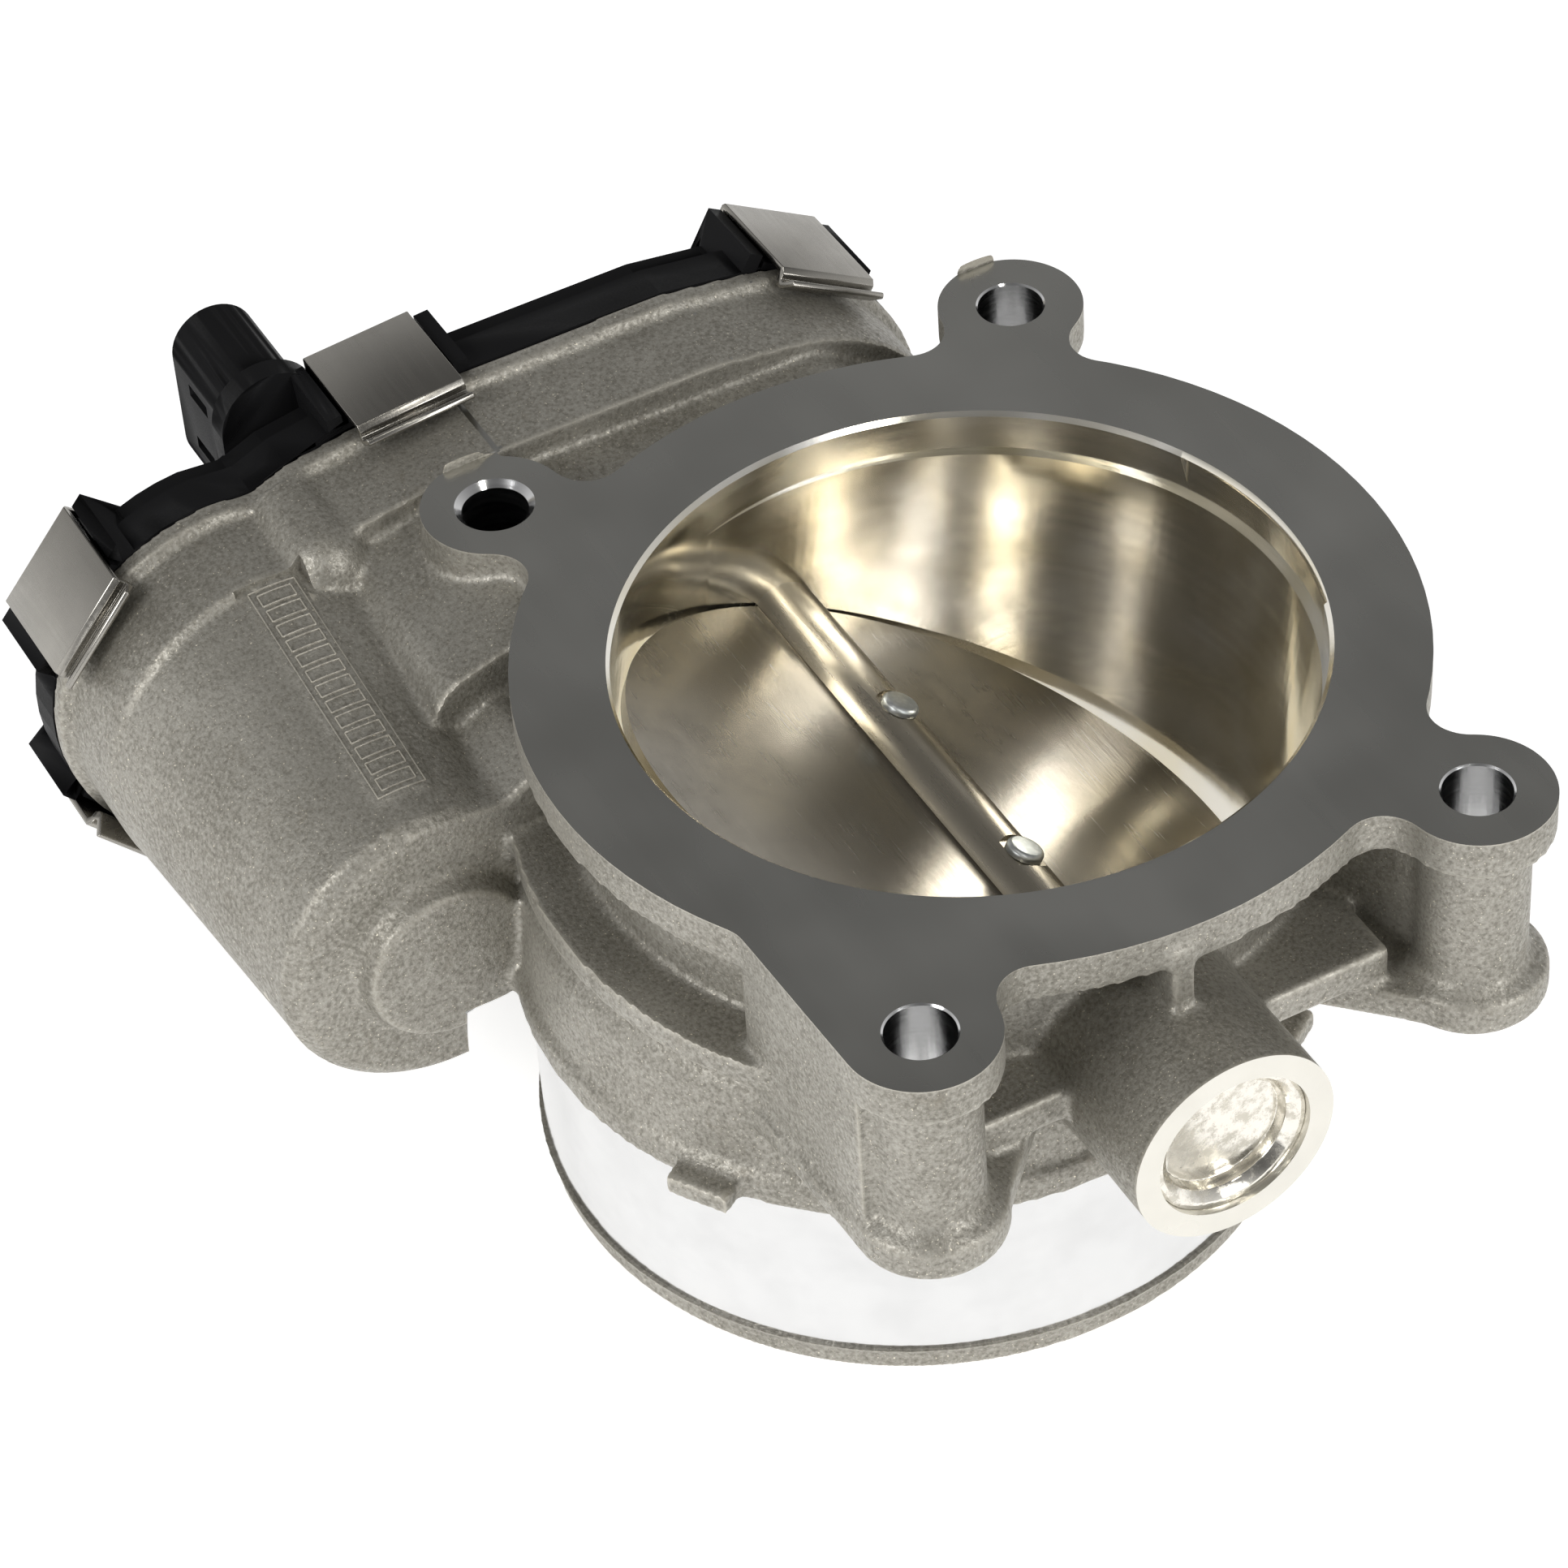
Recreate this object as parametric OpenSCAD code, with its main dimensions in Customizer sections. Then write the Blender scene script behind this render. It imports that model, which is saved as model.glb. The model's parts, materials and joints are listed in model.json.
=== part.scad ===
// Electronic throttle body: cast housing with a tilted bore, butterfly plate on a
// geared shaft, DC motor, two-stage gear train, clipped plastic cover.
// Frame: origin at the centre of the manifold face, +Z out of that face,
// X along the throttle shaft with the gearbox at -X, motor at -Y.

/* [Manifold flange] */
// Bore diameter at the manifold face
flange_bore_d = 93; // [92:0.5:94]
// Outer radius of the flange ring
flange_r = 59; // [58:0.5:60]
// Thickness of the flange
flange_t = 6; // [5:0.5:7]
// Bolt spacing along the shaft
bolt_dx = 114; // [113:0.5:115]
// Bolt spacing across the shaft
bolt_dy = 79; // [78:0.5:80]
// Bolt hole diameter
bolt_hole_d = 9; // [8.4:0.2:9.2]
// Length of the bolt columns
bolt_column_len = 34; // [32:1:36]

/* [Throttle] */
// Diameter of the throttle bore
bore_d = 91; // [90:0.5:91]
// Lean of the bore away from the flange axis
bore_tilt = 9; // [8:0.5:10]
// Depth of the shaft centre below the manifold face
shaft_depth = 27; // [26:0.5:28]
// Shaft diameter
shaft_d = 10; // [9:0.5:10]
// Plate thickness
plate_t = 2.4; // [2:0.2:2.8]
// Plate angle to the bore when shut
closed_angle = 7; // [6:0.5:9]
// Plate angle to the bore with the motor unpowered
rest_angle = 19.5; // [15:0.5:22]

/* [Inlet collar] */
// Outer diameter of the machined collar
collar_d = 102; // [101:0.5:103]
// Depth of the collar's open end below the manifold face
collar_end = 76; // [75:1:78]
// Length of collar that takes the hose, up to the underside of the motor barrel
hose_seat = 17.4; // [12:0.1:17.4]

// Plate angle to the bore at full opening
open_angle = 85; // [80:1:85]

/* [Drive] */
// Motor can diameter
motor_d = 38; // [36:1:38]
// Face width of the sector gear
sector_width = 6; // [5:0.5:6]

/* [Cover] */
// Thickness of the gearbox side wall
wall_t = 2.6; // [2.4:0.1:2.7]
// Width of a spring clip
clip_w = 16; // [14:1:17]

/* [Hidden] */
$fn = 96;
eps = 0.01;
fit = 0.03;

// Tooth counts and modules; the sector gear's count is for its full circle
pinion_teeth = 15;
large_teeth = 50;
small_teeth = 14;
sector_teeth = 40;

// Shaft, motor and intermediate axes, as [y, z]
throttle_axis = [-shaft_depth * tan(bore_tilt), -shaft_depth];
motor_axis = [-69, -36];
m1 = 1;
m2 = 1.25;
centre_1 = m1 * (pinion_teeth + large_teeth) / 2;
centre_2 = m2 * (small_teeth + sector_teeth) / 2;
span = norm(throttle_axis - motor_axis);
span_dir = (throttle_axis - motor_axis) / span;
along = (pow(centre_1, 2) - pow(centre_2, 2) + pow(span, 2)) / (2 * span);
aside = sqrt(pow(centre_1, 2) - pow(along, 2));
idler_axis = motor_axis + along * span_dir + aside * [span_dir.y, -span_dir.x];
mesh_2 = angle_of(idler_axis - throttle_axis);
mesh_1 = angle_of(idler_axis - motor_axis);
function angle_of(v) = atan2(v.y, v.x);

// Stations along the shaft
floor_x = -70;
back_x = -66.6;
rim_x = -83;
cover_edge_x = -89;
cover_top_x = -95.5;
pad_x = -94.4;
boss_face_x = 71;
motor_end_x = -20;

// Derived sizes
bore_r = bore_d / 2;
shaft_r = shaft_d / 2;
collar_r = collar_d / 2;
collar_y = -10.8;
collar_top = 45;
barrel_r = 49.2;
travel_open = open_angle - rest_angle;
travel_shut = rest_angle - closed_angle;
plate_gap = 0.4;
screw_x = 16.3;
silver = [0.70, 0.69, 0.66];
steel = [0.62, 0.61, 0.58];
bright = [0.85, 0.85, 0.84];
black = [0.05, 0.05, 0.06];
amber = [0.86, 0.80, 0.62];

// ---------- placing helpers ----------

module along_x(x0, axis) translate([x0, axis[0], axis[1]]) rotate([90, 0, 90]) children();

module x_rod(r, x0, x1, axis) along_x(x0, axis) cylinder(r = r, h = x1 - x0);

module x_ring(r_out, r_in, x0, x1, axis)
    along_x(x0, axis) difference() {
        cylinder(r = r_out, h = x1 - x0);
        translate([0, 0, -1]) cylinder(r = r_in, h = x1 - x0 + 2);
    }

module x_slab(x0, x1) along_x(x0, [0, 0]) linear_extrude(x1 - x0) children();

module at_bolts() for (sx = [-1, 1], sy = [-1, 1])
    translate([sx * bolt_dx / 2, sy * bolt_dy / 2, 0]) children();

// The bore's own frame: its origin is the shaft centre, its Z the bore axis
module bore_frame() translate([0, throttle_axis[0], throttle_axis[1]])
    rotate([-bore_tilt, 0, 0]) children();

// The plate's own frame, at rest
module plate_frame() bore_frame() rotate([-rest_angle, 0, 0]) children();

// ---------- gears ----------

function involute(base, t) = base * [cos(t) + t * PI / 180 * sin(t), sin(t) - t * PI / 180 * cos(t)];
function turned(p, a) = [p.x * cos(a) - p.y * sin(a), p.x * sin(a) + p.y * cos(a)];

module tooth(m, teeth, backlash, pressure = 20) {
    pitch = m * teeth / 2;
    base = pitch * cos(pressure);
    root = pitch - 1.3 * m;
    tip = pitch + 0.92 * m;
    half = 90 / teeth - backlash / (2 * pitch) * 180 / PI
        + tan(pressure) * 180 / PI - pressure;
    roll_tip = sqrt(pow(tip / base, 2) - 1) * 180 / PI;
    roll_foot = root > base ? sqrt(pow(root / base, 2) - 1) * 180 / PI : 0;
    steps = 6;
    flank = [for (i = [0:steps]) involute(base, roll_foot + (roll_tip - roll_foot) * i / steps)];
    foot = [root - 0.3, 0];
    right = concat([foot], [for (p = flank) p]);
    polygon(concat([for (p = right) turned(p, -half)],
        [for (i = [len(right) - 1:-1:0]) turned([right[i].x, -right[i].y], half)]));
}

module gear_teeth(m, teeth, angles, width, backlash = 0.22)
    linear_extrude(width) for (a = angles) rotate(a) tooth(m, teeth, backlash);

// ---------- outlines in the Y-Z plane ----------

function arc(c, r, a0, a1, step = 7) = let (n = ceil(abs(a1 - a0) / step))
    [for (i = [0:n]) c + r * [cos(a0 + (a1 - a0) * i / n), sin(a0 + (a1 - a0) * i / n)]];

// Round ends over the throttle and the motor, and a small step in the top edge
throttle_end = [7, -29.5];
motor_end = [-68.5, -33];

module gearbox_outline(grow = 0) polygon(concat(
    arc(throttle_end, 28.5 + grow, -77, 84),
    [[-1, 0.4 + grow]],
    arc([-32, -29], 29.1 + grow, 90, 105),
    [[-58.5, -4.2 + grow], [-64, -6.6 + grow]],
    arc(motor_end, 27 + grow, 94, 257),
    arc([-40, -36], 30.5 + grow, 257, 283)
));

module rim_outline() gearbox_outline(1.5);

// ---------- housing ----------

// Round plate with four lobes; the lobe by the motor side column runs straight into the ring
module flange_outline() offset(r = -5) offset(delta = 5) {
    circle(flange_r);
    at_bolts() circle(10);
    for (sx = [-1, 1], sy = [-1, 1])
        rotate(sx * sy * atan(bolt_dy / bolt_dx) + (sx < 0 ? 180 : 0)) translate([40, -8.5]) square([29, 17]);
    polygon([[bolt_dx / 2, -bolt_dy / 2 - 10], [33.5, -50.2], [30, -30]]);
}

// One bolt column with its foot pad and the webs that tie it to the barrel
module bolt_column(sx, sy) {
    px = sx * bolt_dx / 2;
    py = sy * bolt_dy / 2;
    translate([px, py, -bolt_column_len]) {
        cylinder(r = 7.2, h = bolt_column_len - 1);
        translate([0, 0, 1]) cylinder(r = 10, h = 4);
        cylinder(r1 = 9, r2 = 10, h = 1);
        translate([0, 0, 5]) cylinder(r1 = 10, r2 = 7.2, h = 2);
    }
    translate([0, 0, -bolt_column_len + 0.6]) linear_extrude(4.4) polygon([
        [px - sx * 2, py + sy * 9.6], [sx * 22, sy * 46], [sx * 30, sy * 20],
        [sx * 46, sy * 16], [px + sx * 8.4, py - sy * 5]
    ]);
    translate([0, 0, -bolt_column_len + 4]) linear_extrude(bolt_column_len - 6) polygon([
        [px, py + sy * 3], [sx * 34, sy * 34], [sx * 38, sy * 26], [px + sx * 2, py - sy * 3]
    ]);
}

module inlet_collar() translate([0, collar_y, 0]) {
    ledge = collar_end - collar_top;
    body_r = collar_r + 0.6;
    translate([0, 0, -collar_end]) rotate_extrude() polygon([
        [30, 0.6], [collar_r - 0.6, 0], [collar_r, 0.6], [collar_r, hose_seat + 0.6],
        [collar_r - 0.7, hose_seat + 1.3], [collar_r - 0.7, ledge], [collar_r + 1.8, ledge],
        [collar_r + 1.8, ledge + 4], [body_r, ledge + 5], [body_r - 1.2, ledge + 16],
        [barrel_r - 2, ledge + 21], [30, ledge + 21]
    ]);
    for (a = [-146, -58, 34, 122]) rotate(a)
        translate([collar_r - 6, -4.5, -collar_top + 0.2]) cube([11.5, 9, 3.2]);
}

module barrel() intersection() {
    bore_frame() translate([0, 0, -40]) cylinder(r = barrel_r, h = 80);
    translate([-60, -70, -collar_top + 1]) cube([120, 140, collar_top - 2]);
}

module plug_boss() {
    x_rod(14.2, 40, boss_face_x, throttle_axis);
    // Rib from the boss up to the flange, and side ribs to the bolt columns
    translate([44, throttle_axis[0] - 1.6, -18]) cube([15.5, 3.2, 15]);
    translate([40, throttle_axis[0] - 33, -28.6]) cube([15, 66, 5]);
}

// Wall under the straight edge of the flange, from the barrel to the front column
module front_wall() {
    translate([0, 0, -bolt_column_len + 0.6]) linear_extrude(bolt_column_len - 3) polygon([
        [29, -49.6], [bolt_dx / 2, -48.7], [bolt_dx / 2, -43.5], [34, -43.5], [28, -42]
    ]);
    translate([0, 0, -bolt_column_len + 0.6]) linear_extrude(3.4) polygon([
        [25, -51], [bolt_dx / 2, -49.5], [bolt_dx / 2, -43], [25, -42]
    ]);
}

module motor_barrel() {
    x_rod(22.3, floor_x, motor_end_x - 2, motor_axis);
    // Long taper that leans from the gearbox wall down to the motor's closed end
    translate([back_x - 1, motor_axis[0], motor_axis[1] + 2.5]) rotate([0, 93.14, 0])
        cylinder(r1 = 26.3, r2 = 22.2, h = 45);
    along_x(motor_end_x - 2, motor_axis) cylinder(r1 = 22.3, r2 = 20.3, h = 2);
    along_x(motor_end_x, motor_axis) cylinder(r1 = 12.8, r2 = 11.6, h = 3.6);
    // Bridge from the motor barrel to the bore wall
    x_slab(floor_x, motor_end_x) polygon([
        [-72, -14.6], [-58, -15.5], [-52, -12], [-38, -12], [-38, -52], [-56, -54], [-66, -58]
    ]);
    // Raised frame with a row of cells along the sloping top
    translate([-27, motor_axis[0] - 3.5, motor_axis[1] + 22.1]) rotate([0, 8.1, 0]) translate([-39, 0, 0])
        difference() {
            cube([39, 7, 1.3]);
            for (i = [0:12]) translate([0.6 + i * 2.95, 0.6, -1]) cube([2.4, 5.8, 3]);
        }
    // Rib that follows the flange from the motor towards the front column
    translate([0, 0, -25]) linear_extrude(4) intersection() {
        difference() {
            circle(61);
            circle(48);
        }
        polygon([[-22, -70], [-20, -44], [36, -38], [40, -70]]);
    }
}

// Angle and radius of each motor screw round the motor axis
motor_screw_places = [[68, 23.4], [300, 22.6]];
function motor_screw_axis(i) = motor_axis + motor_screw_places[i][1]
    * [cos(motor_screw_places[i][0]), sin(motor_screw_places[i][0])];

module gearbox_body() {
    x_slab(rim_x, back_x) gearbox_outline();
    x_slab(rim_x, rim_x + 3) rim_outline();
    // Neck between the gearbox floor and the bore wall
    x_slab(back_x - 1, -36) offset(r = 7) offset(delta = -7) polygon([
        [-60, -50], [-60, -9], [-44, -4], [14, -4], [30, -14], [30, -44], [10, -52]
    ]);
    // Bosses for the motor screws
    for (i = [0, 1]) x_rod(4.2, back_x - 1, -60, motor_screw_axis(i));
    // Domed boss on top of the wall
    x_rod(5.6, rim_x + 1, -69, [-60.6, -10.4]);
    translate([-69, -60.6, -10.4]) sphere(5.6);
}

module gearbox_cavity() {
    x_slab(rim_x - 1, floor_x) gearbox_outline(-wall_t);
    // Seal groove is cut in the rim
    x_slab(rim_x - eps, rim_x + 1.4) difference() {
        gearbox_outline(0.5);
        gearbox_outline(-1.3);
    }
}

module housing() color(silver) difference() {
    union() {
        translate([0, 0, -flange_t]) linear_extrude(flange_t) flange_outline();
        barrel();
        inlet_collar();
        bolt_column(1, -1);
        bolt_column(1, 1);
        bolt_column(-1, -1);
        bolt_column(-1, 1);
        plug_boss();
        front_wall();
        motor_barrel();
        gearbox_body();
    }
    // Throttle bore, its entry bore in the flange and its mouth in the collar
    bore_frame() translate([0, 0, -70]) cylinder(r = bore_r, h = 120);
    translate([0, 0, -6.5]) cylinder(r = flange_bore_d / 2 - 0.6, h = 10);
    translate([0, 0, -0.6]) cylinder(r1 = flange_bore_d / 2 - 0.6, r2 = flange_bore_d / 2 + 0.4, h = 1);
    translate([0, collar_y - 0.8, -collar_end - 0.1])
        cylinder(r1 = collar_r - 1.6, r2 = collar_r - 7.6, h = 7);
    // Bolt holes
    at_bolts() translate([0, 0, -bolt_column_len - 1]) cylinder(d = bolt_hole_d, h = bolt_column_len + 3);
    gearbox_cavity();
    // Shaft passages and bearing seats
    x_rod(shaft_r + 0.4, floor_x - 1, boss_face_x + 1, throttle_axis);
    x_rod(8, -68.2, -47, throttle_axis);
    x_rod(9.5, 49, 65, throttle_axis);
    x_rod(10.8, 65 - eps, boss_face_x + 1, throttle_axis);
    // Pocket for the return spring round the bearing seat
    x_ring(15, 10, floor_x - 1, -57.5, throttle_axis);
    // Motor bore and idler pin hole
    x_rod(motor_d / 2 + 0.15, floor_x - 1, -23.5, motor_axis);
    x_rod(5.5, -24, -21.5, motor_axis);
    x_rod(2.5, floor_x - 1, -63, idler_axis);
    // Threaded holes for the motor screws and the stop screw
    for (i = [0, 1]) x_rod(1.7, floor_x - 1, -62, motor_screw_axis(i));
    translate(stop_screw_at) cylinder(r = 2.5, h = 14);
}

// ---------- throttle ----------

module throttle_shaft() color(steel) difference() {
    x_rod(shaft_r, floor_x - 9, 63, throttle_axis);
    // Slot for the plate and the flats that carry the screw heads
    plate_frame() cube([2 * bore_r - 0.6, 2 * shaft_r + 2, plate_t + 2 * fit], center = true);
    plate_frame() for (s = [-1, 1]) translate([s * screw_x, 0, 0]) {
        translate([0, 0, shaft_r - 0.6]) cylinder(r = 3.4, h = 2);
        cylinder(r = 1.8, h = 12, center = true);
    }
    // Flats on the gear end
    for (s = [0, 1]) plate_frame() rotate([s * 180, 0, 0])
        translate([floor_x - 10, -shaft_r - 1, shaft_r - 1.4]) cube([9.2, 2 * shaft_r + 2, 3]);
}

// A slab cut to the bore's outline while shut, then turned to the rest angle
module throttle_plate() color(amber) bore_frame() rotate([-(rest_angle - closed_angle), 0, 0])
    difference() {
        intersection() {
            cylinder(r = bore_r - plate_gap, h = 40, center = true);
            rotate([-closed_angle, 0, 0]) cube([120, 120, plate_t], center = true);
        }
        rotate([-closed_angle, 0, 0]) for (s = [-1, 1]) translate([s * screw_x, 0, 0])
            cylinder(r = 1.8, h = 10, center = true);
    }

module plate_screws() color(bright) plate_frame() for (s = [-1, 1])
    translate([s * screw_x, 0, 0]) {
        translate([0, 0, shaft_r - 0.6]) cylinder(r = 2.6, h = 0.9);
        translate([0, 0, shaft_r + 0.3]) cylinder(r1 = 2.6, r2 = 2.2, h = 0.4);
        translate([0, 0, -shaft_r + 0.6]) cylinder(r = 1.75, h = 2 * shaft_r - 1);
    }

module gear_side_bearing() color(steel)
    x_ring(8, shaft_r + fit, -68, -57, throttle_axis);

module plug_side_bearing() color(steel)
    x_ring(9.5, shaft_r + fit, 56, 63, throttle_axis);

module shaft_seals() color(black) {
    x_ring(8, shaft_r + 0.05, -52, -49, throttle_axis);
    x_ring(9.5, shaft_r + 0.05, 51, 54, throttle_axis);
}

module shaft_plug() color(bright) along_x(boss_face_x - 5.4, throttle_axis) rotate_extrude() polygon([
    [0, 0.4], [8.6, 0.4], [9.4, 1], [9.4, 2.6], [10.8, 3.4], [10.8, 4.4],
    [9.8, 4.4], [8.6, 3.2], [8.4, 1.6], [0, 1.6]
]);

// ---------- return spring ----------

function coil_point(i, r, x0, pitch, steps) =
    [x0 + pitch * i / steps, r * cos(360 * i / steps), r * sin(360 * i / steps)];

module return_spring() {
    wire = 0.7;
    coil_r = 12.5;
    turns = 6;
    steps = 28;
    sides = 8;
    count = turns * steps;
    pitch = 1.78;
    points = [for (i = [0:count], k = [0:sides - 1]) let (
        c = coil_point(i, coil_r, 0, pitch, steps), a = 360 * i / steps, b = 360 * k / sides)
        [c.x + wire * sin(b), c.y + wire * cos(b) * cos(a), c.z + wire * cos(b) * sin(a)]];
    faces = concat(
        [[for (k = [sides - 1:-1:0]) k]],
        [for (i = [0:count - 1], k = [0:sides - 1]) let (
            n = (k + 1) % sides, p = i * sides, q = p + sides) [p + k, p + n, q + n, q + k]],
        [[for (k = [0:sides - 1]) count * sides + k]]);
    color(steel) translate([floor_x + 0.8, throttle_axis[0], throttle_axis[1]])
        polyhedron(points = points, faces = faces);
}

module spring_bush() color(black)
    x_ring(11.4, 10, floor_x + 0.2, -57.5, throttle_axis);

// ---------- gear train ----------

module sector_gear() color(black) {
    face_x = -79;
    first = -2;
    last = 9;
    step = 360 / sector_teeth;
    difference() {
        union() {
            along_x(face_x, throttle_axis) {
                gear_teeth(m2, sector_teeth, [for (i = [first:last]) mesh_2 + i * step], sector_width);
                linear_extrude(sector_width) intersection() {
                    circle(m2 * sector_teeth / 2 - 1.3 * m2);
                    polygon([for (i = [first - 0.5, (first + last) / 2, last + 0.5])
                        60 * [cos(mesh_2 + i * step), sin(mesh_2 + i * step)], [5, 6]]);
                }
            }
            x_rod(9, face_x, -71, throttle_axis);
            x_rod(7.2, face_x - 5, face_x + 1, throttle_axis);
        }
        intersection() {
            x_rod(shaft_r + fit, face_x - eps, -70, throttle_axis);
            plate_frame() cube([300, 30, 2 * (shaft_r - 1.4 + fit)], center = true);
        }
        // Pocket for the sensor magnet
        x_rod(5.4, face_x - 6, face_x - 2, throttle_axis);
        along_x(face_x - 1, throttle_axis) for (i = [0.5, 3.5, 6.5]) rotate(mesh_2 + i * step)
            translate([15.8, 0, 0]) cylinder(r = 2.8, h = sector_width + 2);
    }
}

module sensor_magnet() color(steel) x_rod(5.4, -84, -81, throttle_axis);

module intermediate_gear() color([0.85, 0.83, 0.76]) difference() {
    union() {
        along_x(-79.5, idler_axis) {
            gear_teeth(m2, small_teeth,
                [for (i = [0:small_teeth - 1]) mesh_2 + 180 + (i + 0.5) * 360 / small_teeth], 8);
            cylinder(r = m2 * small_teeth / 2 - 1.3 * m2, h = 8);
        }
        along_x(-85, idler_axis) {
            gear_teeth(m1, large_teeth,
                [for (i = [0:large_teeth - 1]) mesh_1 + 180 + i * 360 / large_teeth], 4.5);
            difference() {
                cylinder(r = m1 * large_teeth / 2 - 1.3 * m1, h = 4.5);
                translate([0, 0, -1]) difference() {
                    cylinder(r = 20.5, h = 2.5);
                    cylinder(r = 7, h = 3);
                }
            }
            cylinder(r = 8, h = 6);
        }
    }
    x_rod(2.5 + fit, -86, -70, idler_axis);
    along_x(-86, idler_axis) for (a = [0:60:300]) rotate(a) translate([14, 0, 0]) cylinder(r = 3.6, h = 8);
}

module intermediate_gear_pin() color(steel) x_rod(2.5, -87.5, -63, idler_axis);

// ---------- motor ----------

module motor_pinion() color(steel) difference() {
    along_x(-86, motor_axis) {
        gear_teeth(m1, pinion_teeth,
            [for (i = [0:pinion_teeth - 1]) mesh_1 + (i + 0.5) * 360 / pinion_teeth], 6.5);
        cylinder(r = m1 * pinion_teeth / 2 - 1.3 * m1, h = 6.5);
    }
    x_rod(2, -87, -78, motor_axis);
}

module motor_shaft() color(bright) x_rod(2, -86.4, -22.4, motor_axis);

module motor_armature() color([0.72, 0.42, 0.22]) difference() {
    union() {
        along_x(-56, motor_axis) linear_extrude(22) difference() {
            circle(12.6);
            for (a = [0:45:315]) rotate(a) translate([9.5, -1.2]) square([4, 2.4]);
        }
        x_rod(10, -59, -31, motor_axis);
    }
    x_rod(2, -60, -30, motor_axis);
}

module motor_commutator() color([0.75, 0.48, 0.28]) difference() {
    x_rod(5, -66, -60, motor_axis);
    x_rod(2, -67, -59, motor_axis);
    along_x(-67, motor_axis) for (a = [0:45:315]) rotate(a) translate([4.6, -0.2, 0]) cube([1, 0.4, 6]);
}

module motor_can() color([0.55, 0.56, 0.56]) difference() {
    union() {
        x_rod(motor_d / 2, -69, -25, motor_axis);
        x_rod(5.3, -25.5, -22, motor_axis);
    }
    x_rod(motor_d / 2 - 1.2, -70, -26.4, motor_axis);
    x_rod(2 + fit, -27, -21, motor_axis);
}

module motor_magnets() color([0.2, 0.2, 0.21]) along_x(-59, motor_axis) for (s = [0, 180]) rotate(s)
    linear_extrude(27) intersection() {
        difference() {
            circle(motor_d / 2 - 1.2);
            circle(13.4);
        }
        polygon([[0, 0], [20, -19], [30, 0], [20, 19]]);
    }

terminal_angles = [120, 240];

module motor_end_cap() color(black) difference() {
    union() {
        x_rod(motor_d / 2 - 1.3, -70, -66.5, motor_axis);
        x_rod(motor_d / 2, -73, -69, motor_axis);
        x_slab(-73, floor_x) for (p = motor_screw_places) polygon([
            for (c = [[10, -7], [p[1] + 1.8, -3], [p[1] + 3, 0], [p[1] + 1.8, 3], [10, 7]])
                motor_axis + turned(c, p[0])
        ]);
        x_rod(6, -75.5, -72, motor_axis);
    }
    x_rod(2 + fit, -80, -60, motor_axis);
    for (i = [0, 1]) x_rod(1.8, -80, -60, motor_screw_axis(i));
    for (a = terminal_angles) translate([0, motor_axis[0], motor_axis[1]]) rotate([a, 0, 0])
        translate([-76, 10, -3.2]) cube([8, 1, 6.4]);
}

module motor_brushes() color([0.25, 0.22, 0.2]) for (a = [30, 210])
    translate([-66.5, motor_axis[0], motor_axis[1]]) rotate([a, 0, 0])
        translate([0, 5.1, -1.6]) cube([5, 7, 3.2]);

module motor_screws() color(bright) for (i = [0, 1]) {
    axis = motor_screw_axis(i);
    x_rod(1.68, -73.5, -62.5, axis);
    difference() {
        x_rod(3, -75.4, -73, axis);
        along_x(-76, axis) cylinder(r = 1.5, h = 1.8, $fn = 6);
    }
}

module motor_terminals() color([0.8, 0.72, 0.45]) for (a = terminal_angles)
    translate([0, motor_axis[0], motor_axis[1]]) rotate([a, 0, 0])
        translate([-84, 10.1, -3.1]) cube([16, 0.8, 6.2]);

module motor_wave_washer() color(steel)
    x_ring(15, 8, -24.4, -23.5, motor_axis);

// ---------- stop screw ----------

stop_screw_at = [-76, 10.5, -60.5];

module stop_screw() color(steel) translate(stop_screw_at) difference() {
    cylinder(r = 2.45, h = 12);
    translate([0, 0, -0.1]) cylinder(r = 1.3, h = 2.4, $fn = 6);
}

// ---------- cover ----------

// Every clip is [y, z, outward direction] on the rim outline
function clip_on(c, r, a) = [c.x + r * cos(a), c.y + r * sin(a), a];
clips = [
    clip_on(motor_end, 28.5, 139),
    [-41, 1.4, 95],
    clip_on(throttle_end, 30, 60),
    clip_on(motor_end, 28.5, 222),
    [-40, -68, 270],
    clip_on(throttle_end, 30, -48)
];

module at_clips() for (c = clips)
    translate([0, c[0], c[1]]) rotate([c[2] - 90, 0, 0]) children();

// Connector shroud outline, centred on its own axis
connector_axis = [-55, -12];
function pin_z(i) = connector_axis[1] - 9 + i * 2.4;
module connector_outline(grow) translate(connector_axis) {
    for (s = [-1, 1]) translate([0, s * 7]) circle(6.2 + grow);
    square([12.4 + 2 * grow, 14], center = true);
}

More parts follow.
